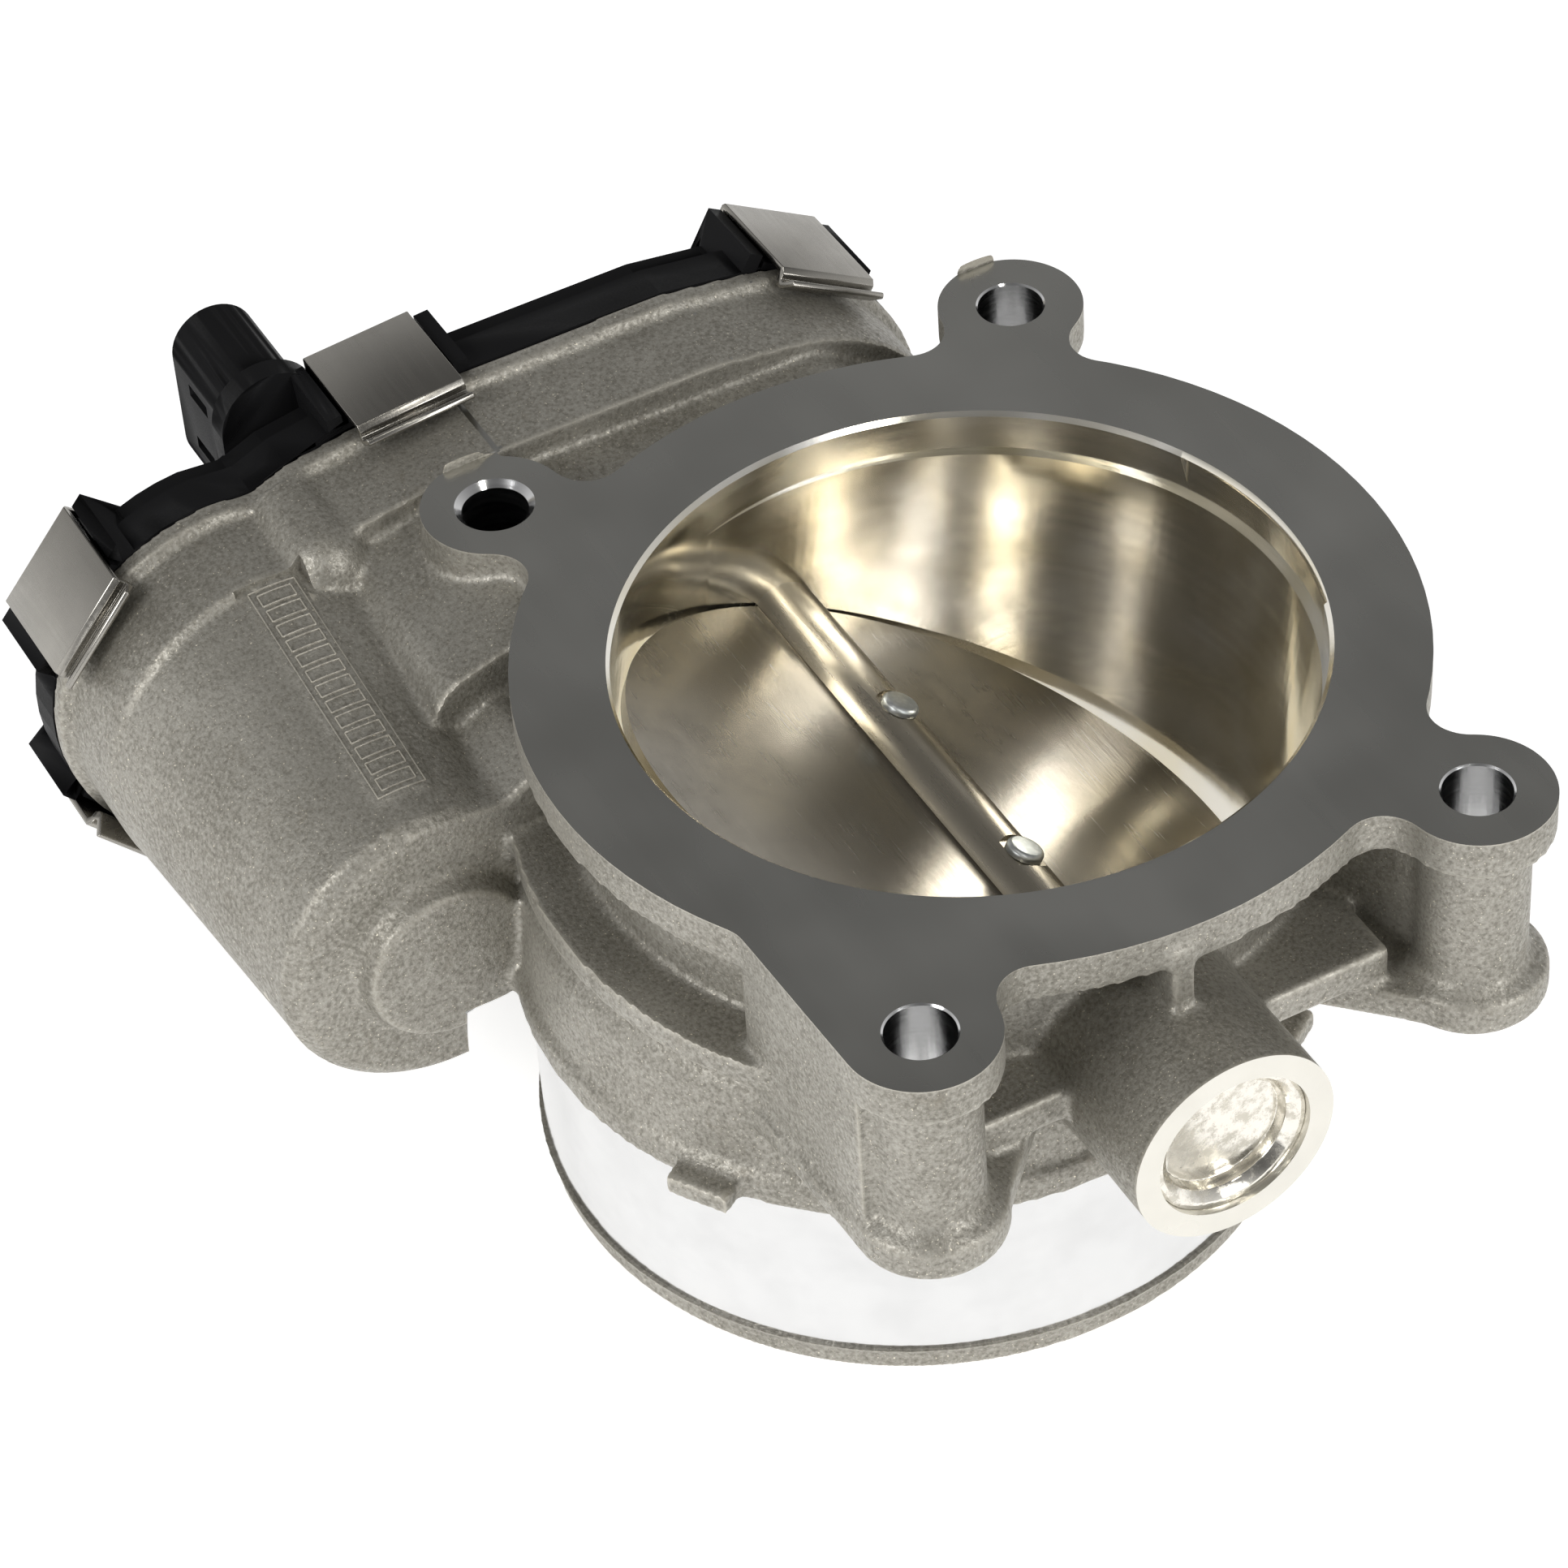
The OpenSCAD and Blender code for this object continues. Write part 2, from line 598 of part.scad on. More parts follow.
module gear_cover() color(black) difference() {
    union() {
        x_slab(cover_edge_x, rim_x) rim_outline();
        x_slab(cover_edge_x - 4.5, cover_edge_x) gearbox_outline(-0.4);
        x_slab(cover_top_x, cover_edge_x - 4.5) gearbox_outline(-2.2);
        // Pads that carry the clips, with a post on each side of the strap
        at_clips() {
            translate([pad_x, -clip_w / 2 + 0.3, -7]) cube([rim_x - pad_x, clip_w - 0.6, 7]);
            for (s = [-1, 1]) translate([pad_x - 1, s * (clip_w / 2 + 1.6) - 1.1, -7])
                cube([rim_x - pad_x + 1, 2.2, 8]);
        }
        x_slab(-115, cover_top_x + 1) connector_outline(0);
        x_slab(-98, cover_top_x + 1) connector_outline(1.6);
    }
    // Room for the hooked ends of the clips
    at_clips() translate([cover_top_x - 1, -clip_w / 2 - 0.5, -8])
        cube([pad_x - cover_top_x + 1, clip_w + 1, 20]);
    // Hollow side, sensor recess and connector socket
    x_slab(-87.6, rim_x + 1) gearbox_outline(-wall_t);
    x_rod(2.5 + fit, -88.2, -80, idler_axis);
    x_rod(4.4, -89, -80, motor_axis);
    x_slab(-116, -101) connector_outline(-1.3);
    x_slab(-110, -104) for (s = [-1, 1]) translate([connector_axis[0] - 8, connector_axis[1] + s * 4.6 - 1])
        square([4, 2]);
    for (i = [0:5]) translate([-102, connector_axis[0] - 0.35, pin_z(i) - 0.03]) cube([15, 0.7, 1.6]);
}

module cover_seal() color([0.15, 0.2, 0.35]) x_slab(rim_x + 0.02, rim_x + 1.3) difference() {
    gearbox_outline(0.4);
    gearbox_outline(-1.2);
}

module sensor_board() color([0.1, 0.35, 0.2]) difference() {
    translate([-87.6, -22, -46]) cube([1.6, 38, 34]);
    for (s = [[-19, -43], [13, -43], [13, -15]]) x_rod(1.4, -88, -85, s);
}

module connector_pins() color([0.8, 0.72, 0.45]) for (i = [0:5])
    translate([-110, connector_axis[0] - 0.32, pin_z(i)]) cube([24, 0.64, 1.54]);

// Spring clips: a strap over the cover pad, hooked under the housing rim
module cover_clips() color(steel) at_clips() translate([0, clip_w / 2, 0]) rotate([90, 0, 0])
    linear_extrude(clip_w) offset(r = 0.35, $fn = 20) offset(delta = -0.35) polygon([
        [pad_x - 1, 1], [rim_x + 3.6, 1], [rim_x + 4.1, 0.5], [rim_x + 4.1, -0.4], [rim_x + 4.8, -1],
        [rim_x + 5.6, -0.9], [rim_x + 8, 0.9], [rim_x + 7.5, 1.7], [rim_x + 5.5, 0.2],
        [rim_x + 5, 0.3], [rim_x + 5, 1.2], [rim_x + 4.3, 1.9], [pad_x - 1.4, 1.9], [pad_x - 1.9, 1.4],
        [pad_x - 1.9, -4], [pad_x - 0.9, -4.6], [pad_x - 0.9, 0.1]
    ]);

housing();
throttle_shaft();
throttle_plate();
plate_screws();
gear_side_bearing();
plug_side_bearing();
shaft_seals();
shaft_plug();
return_spring();
spring_bush();
sector_gear();
sensor_magnet();
intermediate_gear();
intermediate_gear_pin();
motor_pinion();
motor_shaft();
motor_armature();
motor_commutator();
motor_can();
motor_magnets();
motor_end_cap();
motor_brushes();
motor_screws();
motor_terminals();
motor_wave_washer();
stop_screw();
gear_cover();
cover_seal();
sensor_board();
connector_pins();
cover_clips();
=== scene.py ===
import json
import math

import bmesh
import bpy
import numpy as np
from mathutils import Matrix, Vector


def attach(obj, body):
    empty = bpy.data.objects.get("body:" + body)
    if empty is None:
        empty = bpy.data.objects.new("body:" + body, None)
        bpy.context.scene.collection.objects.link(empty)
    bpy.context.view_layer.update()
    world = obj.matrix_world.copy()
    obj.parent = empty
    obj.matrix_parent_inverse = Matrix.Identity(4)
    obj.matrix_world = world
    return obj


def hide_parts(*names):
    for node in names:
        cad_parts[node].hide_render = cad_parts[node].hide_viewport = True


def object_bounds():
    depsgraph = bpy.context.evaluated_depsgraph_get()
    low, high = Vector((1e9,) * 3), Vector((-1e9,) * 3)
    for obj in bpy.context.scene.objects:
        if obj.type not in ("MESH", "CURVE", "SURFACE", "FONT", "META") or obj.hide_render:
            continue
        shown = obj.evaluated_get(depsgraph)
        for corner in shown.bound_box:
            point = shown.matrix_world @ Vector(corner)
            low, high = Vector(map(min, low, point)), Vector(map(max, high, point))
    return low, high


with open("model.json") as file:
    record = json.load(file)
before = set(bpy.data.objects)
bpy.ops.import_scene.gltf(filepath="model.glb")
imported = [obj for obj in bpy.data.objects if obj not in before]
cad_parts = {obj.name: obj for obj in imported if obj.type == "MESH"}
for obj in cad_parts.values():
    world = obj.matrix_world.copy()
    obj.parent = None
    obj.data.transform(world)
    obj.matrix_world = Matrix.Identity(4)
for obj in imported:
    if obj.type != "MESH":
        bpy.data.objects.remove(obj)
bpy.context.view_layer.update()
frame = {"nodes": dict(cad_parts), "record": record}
NODES = frame["nodes"]
MM = 0.001
JOINTS = {j["name"]: j for j in frame["record"]["behaviour"]["joints"]}
SHAFT = Vector(JOINTS["throttle_turn"]["pos_m"])
MOTOR = Vector(JOINTS["rotor_turn"]["pos_m"])
BOLTS = next(m for m in frame["record"]["mounts"] if m["name"] == "manifold_bolts")["dims"]
COLLAR = next(m for m in frame["record"]["mounts"] if m["name"] == "inlet_collar")
COLLAR_Y = COLLAR["pos_m"][1]
COLLAR_R = COLLAR["dims"]["r_mm"] * MM
BOLT_R = BOLTS["hole_r_mm"] * MM

# Sizes of the casting. Tilt, bores, boss, collar end and plug seat radius are the CAD's, and the
# seat is 0.09 mm deeper. The band is one plain wall here, where the CAD has a relief in its upper
# part. WALL_X is only where the cut of the manifold face starts, and the stock on two bolt lobes
# beyond it is left standing.
TILT = math.radians(9.0)
BORE_R = 45.5 * MM
ENTRY_R, ENTRY_DEPTH = 45.9 * MM, 6.5 * MM
PLUG_SEAT_R, PLUG_SEAT_X = 10.8 * MM, 64.9 * MM
BOSS_R, BOSS_FACE_X = 14.2 * MM, 71 * MM
BAND_TOP, BAND_END, COLLAR_END = -45 * MM, -71.8 * MM, -76 * MM
WALL_X = -66.55 * MM

# Material slots of the casting
CAST, FACE, BORE, BAND, BOSS = range(5)


# ---------------------------------------------------------------- camera

def add_camera():
    """A long lens, placed by its own axes: to the right, down, and away from the object."""
    azimuth, elevation, roll = (math.radians(a) for a in (64.38, 43.10, 4.34))
    offset = Vector((23.58, -18.14, 702.66)) * MM
    back = Vector((math.sin(azimuth) * math.cos(elevation),
                   -math.cos(azimuth) * math.cos(elevation), math.sin(elevation)))
    level = Vector((math.cos(azimuth), math.sin(azimuth), 0))
    down = back.cross(level) * -1
    right = level * math.cos(roll) + down * math.sin(roll)
    down = down * math.cos(roll) - level * math.sin(roll)
    data = bpy.data.cameras.new("camera")
    data.sensor_width = 36
    data.lens = 126.31677
    data.clip_start, data.clip_end = 0.05, 20
    cam = bpy.data.objects.new("camera", data)
    place = (right * offset.x + down * offset.y - back * offset.z) * -1
    turn = Matrix((right, down * -1, back)).transposed()
    cam.matrix_world = Matrix.Translation(place) @ turn.to_4x4()
    bpy.context.collection.objects.link(cam)
    bpy.context.scene.camera = cam


# ---------------------------------------------------------------- materials

class Shade:
    """One material's node graph, with object coordinates in metres."""

    def __init__(self, name, color, metallic, roughness, **sockets):
        self.mat = bpy.data.materials.new(name)
        self.mat.use_nodes = True
        self.tree = self.mat.node_tree
        self.bsdf = self.tree.nodes["Principled BSDF"]
        self.bsdf.inputs["Base Color"].default_value = (*color, 1)
        self.bsdf.inputs["Metallic"].default_value = metallic
        self.bsdf.inputs["Roughness"].default_value = roughness
        for key, value in sockets.items():
            self.bsdf.inputs[key.replace("_", " ")].default_value = value
        self.coord = self.node("ShaderNodeTexCoord").outputs["Object"]
        self.normal = None

    def node(self, kind, **props):
        made = self.tree.nodes.new(kind)
        for key, value in props.items():
            setattr(made, key, value)
        return made

    def link(self, a, b):
        self.tree.links.new(a, b)

    def stretched(self, scale, turn=(0, 0, 0)):
        m = self.node("ShaderNodeMapping")
        m.inputs["Scale"].default_value = scale
        m.inputs["Rotation"].default_value = turn
        self.link(self.coord, m.inputs["Vector"])
        return m.outputs["Vector"]

    def noise(self, size_mm, detail=3.0, rough=0.55, at=None):
        n = self.node("ShaderNodeTexNoise")
        n.inputs["Scale"].default_value = 1000.0 / size_mm
        n.inputs["Detail"].default_value = detail
        n.inputs["Roughness"].default_value = rough
        self.link(at or self.coord, n.inputs["Vector"])
        return n.outputs["Fac"]

    def spots(self, size_mm):
        v = self.node("ShaderNodeTexVoronoi")
        v.inputs["Scale"].default_value = 1000.0 / size_mm
        self.link(self.coord, v.inputs["Vector"])
        return v.outputs["Distance"]

    def span(self, value, lo, hi, out_lo=0.0, out_hi=1.0):
        m = self.node("ShaderNodeMapRange")
        for key, number in zip(("From Min", "From Max", "To Min", "To Max"), (lo, hi, out_lo, out_hi)):
            m.inputs[key].default_value = number
        self.link(value, m.inputs["Value"])
        return m.outputs["Result"]

    def add(self, a, b):
        m = self.node("ShaderNodeMath", operation="ADD")
        for socket, value in zip(m.inputs, (a, b)):
            self.link(value, socket)
        return m.outputs[0]

    def mix(self, factor, a, b):
        m = self.node("ShaderNodeMix", data_type="RGBA")
        self.link(factor, m.inputs[0])
        for socket, value in ((m.inputs[6], a), (m.inputs[7], b)):
            if isinstance(value, tuple):
                socket.default_value = (*value, 1)
            else:
                self.link(value, socket)
        return m.outputs[2]

    def bump(self, height, depth_mm, strength=1.0):
        b = self.node("ShaderNodeBump")
        b.inputs["Strength"].default_value = strength
        b.inputs["Distance"].default_value = depth_mm * MM
        self.link(height, b.inputs["Height"])
        if self.normal:
            self.link(self.normal, b.inputs["Normal"])
        self.normal = b.outputs["Normal"]
        self.link(self.normal, self.bsdf.inputs["Normal"])

    def color(self, value):
        self.link(value, self.bsdf.inputs["Base Color"])

    def roughness(self, value):
        self.link(value, self.bsdf.inputs["Roughness"])

    def painted_edge_highlight(self, base, bright, lo=0.52, hi=0.60):
        """The base colour, with a brighter one painted where the surface has an outer edge: a painted
        edge highlight.
        """
        point = self.node("ShaderNodeNewGeometry").outputs["Pointiness"]
        return self.mix(self.span(point, lo, hi), base, bright)


def cast_metal():
    s = Shade("cast_aluminium", (0.32, 0.305, 0.27), 0.6, 0.5)
    patches = s.span(s.noise(17, 4), 0.36, 0.66)
    base = s.mix(patches, (0.235, 0.222, 0.188), (0.315, 0.30, 0.262))
    grain = s.noise(0.62, 2.5, 0.65)
    base = s.mix(s.span(grain, 0.44, 0.68, 0.0, 0.45), base, (0.52, 0.50, 0.45))
    base = s.mix(s.span(grain, 0.34, 0.44, 0.5, 0.0), base, (0.15, 0.138, 0.115))
    # Tiny bright specks painted into the base colour: painted glints of light.
    painted_glints = s.span(s.noise(0.34, 1.0), 0.70, 0.76, 0.0, 0.8)
    base = s.mix(painted_glints, base, (0.86, 0.80, 0.66))
    stains = s.span(s.noise(5, 5, 0.7), 0.60, 0.74, 0.0, 0.45)
    base = s.mix(stains, base, (0.235, 0.21, 0.165))
    # Outer edges of the casting get a brighter colour: a painted edge highlight.
    s.color(s.painted_edge_highlight(base, (0.56, 0.53, 0.46), 0.515, 0.58))
    s.roughness(s.span(grain, 0.3, 0.7, 0.6, 0.4))
    s.bump(s.noise(3.4, 3), 0.16, 0.5)
    s.bump(grain, 0.12, 0.9)
    return s.mat


def machined_face():
    s = Shade("machined_face", (0.2, 0.2, 0.19), 1.0, 0.28)
    cloud = s.span(s.noise(34, 2), 0.3, 0.7)
    s.color(s.mix(cloud, (0.37, 0.365, 0.34), (0.44, 0.435, 0.41)))
    line = s.noise(9, 3, 0.6, at=s.stretched((0.06, 1.6, 1), (0, 0, 0.5)))
    fine = s.noise(2.2, 3, 0.6, at=s.stretched((0.1, 2.5, 1), (0, 0, -0.8)))
    s.roughness(s.span(s.add(line, cloud), 0.6, 1.5, 0.22, 0.36))
    s.bump(fine, 0.003, 0.5)
    return s.mat


def polished_bore():
    s = Shade("polished_bore", (0.9, 0.86, 0.74), 1.0, 0.14)
    cloud = s.span(s.noise(19, 2.5), 0.34, 0.66)
    s.color(s.mix(cloud, (0.88, 0.82, 0.66), (0.98, 0.96, 0.91)))
    rings = s.noise(1.3, 2, 0.5, at=s.stretched((0.05, 0.05, 1)))
    s.roughness(s.span(s.add(rings, cloud), 0.5, 1.5, 0.10, 0.22))
    s.bump(s.noise(24, 1.5), 2.2, 0.35)
    s.bump(rings, 0.006, 0.5)
    return s.mat


def bright_turning(name, axis, color, rough):
    """A turned surface whose fine rings lie across the given axis."""
    s = Shade(name, color, 1.0, rough)
    stretch = [0.06, 0.06, 0.06]
    stretch[axis] = 1.0
    rings = s.noise(0.5, 2, 0.6, at=s.stretched(tuple(stretch)))
    cloud = s.noise(9, 3)
    dark = tuple(c * 0.94 for c in color)
    s.color(s.mix(s.span(cloud, 0.4, 0.7), color, dark))
    s.roughness(s.span(rings, 0.3, 0.7, rough * 0.8, rough * 1.7))
    s.bump(rings, 0.01, 0.6)
    return s.mat


def brushed(name, color, rough, axis=0, grain=0.35, blotch=0.12, metallic=1.0):
    """Metal with fine lines along the given axis."""
    s = Shade(name, color, metallic, rough)
    stretch = [1.0, 1.0, 1.0]
    stretch[axis] = 0.04
    lines = s.noise(grain, 3, 0.6, at=s.stretched(tuple(stretch)))
    cloud = s.noise(8, 4, 0.6)
    dark = tuple(c * (1 - 2.2 * blotch) for c in color)
    tone = s.mix(s.span(cloud, 0.36, 0.68), color, dark)
    s.color(s.mix(s.span(lines, 0.35, 0.7, 0.0, 0.35), tone, dark))
    s.roughness(s.span(s.add(lines, cloud), 0.6, 1.4, rough * 0.75, rough * 1.4))
    s.bump(lines, 0.008, 0.6)
    return s.mat


def moulded(name, color, rough=0.42, grain=0.25, depth=0.02):
    s = Shade(name, color, 0.0, rough, Specular_IOR_Level=0.02)
    fine = s.noise(grain, 2)
    cloud = s.noise(12, 3)
    light = tuple(min(1.0, c * 1.4 + 0.002) for c in color)
    tone = s.mix(s.span(cloud, 0.35, 0.7, 0, 0.6), color, light)
    # Outer edges get a brighter colour: a painted edge highlight.
    s.color(s.painted_edge_highlight(tone, tuple(min(1, c * 2.0 + 0.008) for c in color)))
    s.roughness(s.span(s.add(fine, cloud), 0.6, 1.4, rough * 0.75, rough * 1.3))
    s.bump(fine, depth, 0.6)
    return s.mat


def zinc(name="zinc_plating"):
    s = Shade(name, (0.62, 0.64, 0.64), 0.9, 0.36)
    flake = s.spots(0.9)
    cloud = s.noise(2.5, 3)
    tone = s.mix(s.span(cloud, 0.35, 0.7), (0.70, 0.72, 0.71), (0.47, 0.50, 0.50))
    s.color(s.mix(s.span(flake, 0.1, 0.6, 0, 0.35), tone, (0.36, 0.38, 0.38)))
    s.roughness(s.span(cloud, 0.3, 0.7, 0.28, 0.48))
    s.bump(s.noise(0.6, 3), 0.03, 0.6)
    return s.mat


def pressed_plug():
    s = Shade("pressed_plug", (0.6, 0.58, 0.52), 1.0, 0.2)
    mottled = s.span(s.noise(2.4, 5, 0.75), 0.47, 0.6)
    s.color(s.mix(mottled, (0.80, 0.77, 0.70), (0.58, 0.55, 0.48)))
    s.roughness(s.span(mottled, 0, 1, 0.14, 0.36))
    s.bump(s.noise(1.6, 4, 0.7), 0.03, 0.6)
    return s.mat


def dress_cad_nodes():
    steel = brushed("ground_steel", (0.55, 0.55, 0.55), 0.3)
    black = moulded("black_nylon", (0.018, 0.018, 0.019))
    looks = {
        "throttle_shaft": brushed("shaft_steel", (0.44, 0.40, 0.325), 0.27, 0, 0.5, 0.06),
        "throttle_plate": brushed("plate_sheet", (0.34, 0.315, 0.27), 0.22, 0, 0.4, 0.1),
        "plate_screws": zinc(),
        "gear_side_bearing": steel,
        "plug_side_bearing": steel,
        "shaft_seals": moulded("seal_rubber", (0.012, 0.012, 0.012), 0.6),
        "shaft_plug": pressed_plug(),
        "return_spring": brushed("spring_wire", (0.30, 0.29, 0.28), 0.35, 1),
        "spring_bush": black,
        "sector_gear": black,
        "sensor_magnet": brushed("sintered_magnet", (0.12, 0.12, 0.125), 0.5, 1),
        "intermediate_gear": moulded("natural_nylon", (0.66, 0.62, 0.52), 0.4),
        "intermediate_gear_pin": steel,
        "motor_pinion": brushed("pinion_brass", (0.62, 0.44, 0.20), 0.3, 0),
        "motor_shaft": steel,
        "motor_armature": brushed("armature_stack", (0.28, 0.26, 0.25), 0.45, 1, 0.5),
        "motor_commutator": brushed("commutator_copper", (0.70, 0.36, 0.22), 0.28, 1),
        "motor_can": brushed("motor_can", (0.50, 0.51, 0.51), 0.32, 0),
        "motor_magnets": brushed("ferrite", (0.05, 0.05, 0.052), 0.6, 1, metallic=0.1),
        "motor_end_cap": black,
        "motor_brushes": moulded("carbon", (0.02, 0.02, 0.02), 0.6),
        "motor_screws": zinc("motor_screw_zinc"),
        "motor_terminals": brushed("tinned_terminal", (0.68, 0.66, 0.58), 0.3, 0),
        "motor_wave_washer": steel,
        "stop_screw": zinc("stop_screw_zinc"),
        "gear_cover": moulded("cover_plastic", (0.002, 0.002, 0.0023), 0.36, 0.3, 0.02),
        "cover_seal": moulded("cover_seal_rubber", (0.02, 0.03, 0.06), 0.5),
        "sensor_board": moulded("board_lacquer", (0.02, 0.10, 0.045), 0.3),
        "connector_pins": brushed("connector_pin", (0.70, 0.66, 0.52), 0.25, 0),
        "cover_clips": brushed("clip_strip", (0.34, 0.325, 0.295), 0.24, 0, 0.8, 0.05),
    }
    for name, look in looks.items():
        data = NODES[name].data
        data.materials.clear()
        data.materials.append(look)


# ---------------------------------------------------------------- mesh tools

def new_object(name, mesh):
    made = bpy.data.objects.new(name, mesh)
    bpy.context.collection.objects.link(made)
    return made


def lathe(bm, profile, place, sides=128):
    """Turns a closed (radius, height) profile round the place's Z axis into a solid."""
    rings = []
    for r, z in profile:
        if r < 1e-9:
            rings.append([bm.verts.new(place @ Vector((0, 0, z)))] * sides)
        else:
            rings.append([bm.verts.new(place @ Vector((r * math.cos(a), r * math.sin(a), z)))
                          for a in (2 * math.pi * i / sides for i in range(sides))])
    for ring, above in zip(rings, rings[1:] + rings[:1]):
        for i in range(sides):
            j = (i + 1) % sides
            corners = []
            for v in (ring[i], ring[j], above[j], above[i]):
                if v not in corners:
                    corners.append(v)
            if len(corners) > 2:
                bm.faces.new(corners)


def tube_between(bm, sections):
    """Joins equal closed rows of vertices into one solid."""
    for a, b in zip(sections, sections[1:]):
        for i in range(len(a)):
            j = (i + 1) % len(a)
            bm.faces.new((a[i], a[j], b[j], b[i]))
    bm.faces.new(sections[0])
    bm.faces.new(reversed(sections[-1]))


def rod(bm, radius, low, high, place, sides=128):
    lathe(bm, [(0, low), (radius, low), (radius, high), (0, high)], place, sides)


def block(bm, low, high):
    made = bmesh.ops.create_cube(bm, size=1)["verts"]
    size = Vector(high) - Vector(low)
    centre = (Vector(high) + Vector(low)) / 2
    for v in made:
        v.co = Vector(c * s for c, s in zip(v.co, size)) + centre


def finished(bm, name):
    """Turns the bmesh into a named mesh with its normals outward."""
    bmesh.ops.recalc_face_normals(bm, faces=bm.faces)
    mesh = bpy.data.meshes.new(name)
    bm.to_mesh(mesh)
    bm.free()
    return mesh


def apply_modifiers(obj):
    graph = bpy.context.evaluated_depsgraph_get()
    mesh = bpy.data.meshes.new_from_object(obj.evaluated_get(graph))
    mesh.name = obj.name
    obj.modifiers.clear()
    obj.data = mesh


def cut(obj, bm, name):
    cutter = new_object(name, finished(bm, name))
    mod = obj.modifiers.new("cut", "BOOLEAN")
    mod.operation = "DIFFERENCE"
    mod.solver = "MANIFOLD"
    mod.object = cutter
    apply_modifiers(obj)
    bpy.data.objects.remove(cutter)


ALONG_Z = Matrix.Identity(4)
BORE_AXIS = Matrix.Translation(SHAFT) @ Matrix.Rotation(-TILT, 4, "X")
SHAFT_AXIS = Matrix.Translation(SHAFT) @ Matrix.Rotation(math.pi / 2, 4, "Y")
COLLAR_AXIS = Matrix.Translation((0, COLLAR_Y, 0))


def bolt_places():
    x, y = BOLTS["spacing_x_mm"] * MM / 2, BOLTS["spacing_y_mm"] * MM / 2
    return [Matrix.Translation((sx * x, sy * y, 0)) for sx in (-1, 1) for sy in (-1, 1)]


# ---------------------------------------------------------------- the casting

def flange_stock(bm):
    """Thickens the manifold face upwards, so that the cut after the softening leaves it sharp."""
    sink, thickness = 2 * MM, 3.6 * MM
    skin = bmesh.new()
    seen = {}
    for f in bm.faces:
        centre = f.calc_center_median()
        if f.normal.z < 0.99 or abs(centre.z) > 0.02 * MM or centre.x < -66.5 * MM:
            continue
        for v in f.verts:
            if v not in seen:
                seen[v] = skin.verts.new(v.co - Vector((0, 0, sink)))
        skin.faces.new([seen[v] for v in f.verts])
    grown = bmesh.ops.extrude_face_region(skin, geom=list(skin.faces))
    for v in (g for g in grown["geom"] if isinstance(g, bmesh.types.BMVert)):
        v.co.z += thickness
    skin_mesh = finished(skin, "flange_stock")
    bm.from_mesh(skin_mesh)
    bpy.data.meshes.remove(skin_mesh)


def domed_boss(bm):
    """The small boss on top of the gearbox wall, with its round end towards the flange."""
    radius, start, end = 6.2 * MM, -80 * MM, -68.5 * MM
    dome = [(radius * math.cos(math.radians(a)), end + radius * math.sin(math.radians(a)))
            for a in range(0, 91, 10)]
    place = Matrix.Translation((0, -60 * MM, -9 * MM)) @ Matrix.Rotation(math.pi / 2, 4, "Y")
    lathe(bm, [(0, start), (radius, start)] + dome, place, 48)


def raw_casting(voxel):
    """The housing with machining stock added, remeshed and softened like a casting."""
    over, lip_r = 1.6 * MM, 51.7 * MM
    bm = bmesh.new()
    bm.from_mesh(NODES["housing"].data)
    bmesh.ops.remove_doubles(bm, verts=bm.verts, dist=2e-6)
    flange_stock(bm)
    rod(bm, 47.5 * MM, -9 * MM, over, ALONG_Z)
    rod(bm, BORE_R + 0.8 * MM, -48 * MM, 20 * MM, BORE_AXIS)
    for place in bolt_places():
        rod(bm, BOLT_R + 1.3 * MM, -32 * MM, over, place, 48)
    lathe(bm, [(48 * MM, -72 * MM), (lip_r, -72 * MM), (lip_r, -44.8 * MM), (48 * MM, -44.8 * MM)],
          COLLAR_AXIS)
    rod(bm, BOSS_R, 66 * MM, BOSS_FACE_X + 1.4 * MM, SHAFT_AXIS, 96)
    domed_boss(bm)
    obj = new_object("casting", finished(bm, "casting"))
    mod = obj.modifiers.new("voxels", "REMESH")
    mod.mode = "VOXEL"
    mod.voxel_size = voxel
    mod = obj.modifiers.new("soften", "SMOOTH")
    mod.factor = 0.5
    mod.iterations = 5
    apply_modifiers(obj)
    return obj


def machine(obj):
    """Cuts the faces, bores and holes that the real casting has machined."""
    bm = bmesh.new()
    block(bm, (WALL_X, -0.1, 0), (0.1, 0.1, 0.02))
    block(bm, (BOSS_FACE_X, -0.03, -0.05), (0.09, 0.03, -0.005))
    block(bm, (-0.06, -0.08, -0.1), (0.06, 0.06, COLLAR_END))
    cut(obj, bm, "faces")
    bm = bmesh.new()
    rod(bm, BORE_R, -90 * MM, 60 * MM, BORE_AXIS, 192)
    cut(obj, bm, "bore")
    bm = bmesh.new()
    above = 5 * MM
    edge_r = ENTRY_R + 1 * MM
    lathe(bm, [(0, -ENTRY_DEPTH), (ENTRY_R, -ENTRY_DEPTH), (ENTRY_R, -0.6 * MM), (edge_r, 0.4 * MM),
               (edge_r, above), (0, above)], ALONG_Z, 192)
    for place, chamfer in zip(bolt_places(), (0.9 * MM, 0.25 * MM, 0.25 * MM, 0.25 * MM)):
        lathe(bm, [(0, -40 * MM), (BOLT_R, -40 * MM), (BOLT_R, -chamfer), (BOLT_R + chamfer, 0),
                   (BOLT_R + chamfer, above), (0, above)], place, 64)
    rod(bm, PLUG_SEAT_R, PLUG_SEAT_X, 80 * MM, SHAFT_AXIS, 96)
    lathe(bm, [(COLLAR_R, BAND_END), (60 * MM, BAND_END), (60 * MM, BAND_TOP), (COLLAR_R, BAND_TOP)],
          COLLAR_AXIS, 192)
    cut(obj, bm, "bores")
    bm = bmesh.new()
    mouth_r, throat_r, throat_z = 49.4 * MM, 43.4 * MM, -69.1 * MM
    lathe(bm, [(0, -80 * MM), (mouth_r, -80 * MM), (mouth_r, -76.1 * MM), (throat_r, throat_z),
               (0, throat_z)], Matrix.Translation((0, COLLAR_Y - 0.8 * MM, 0)), 192)
    cut(obj, bm, "mouth")


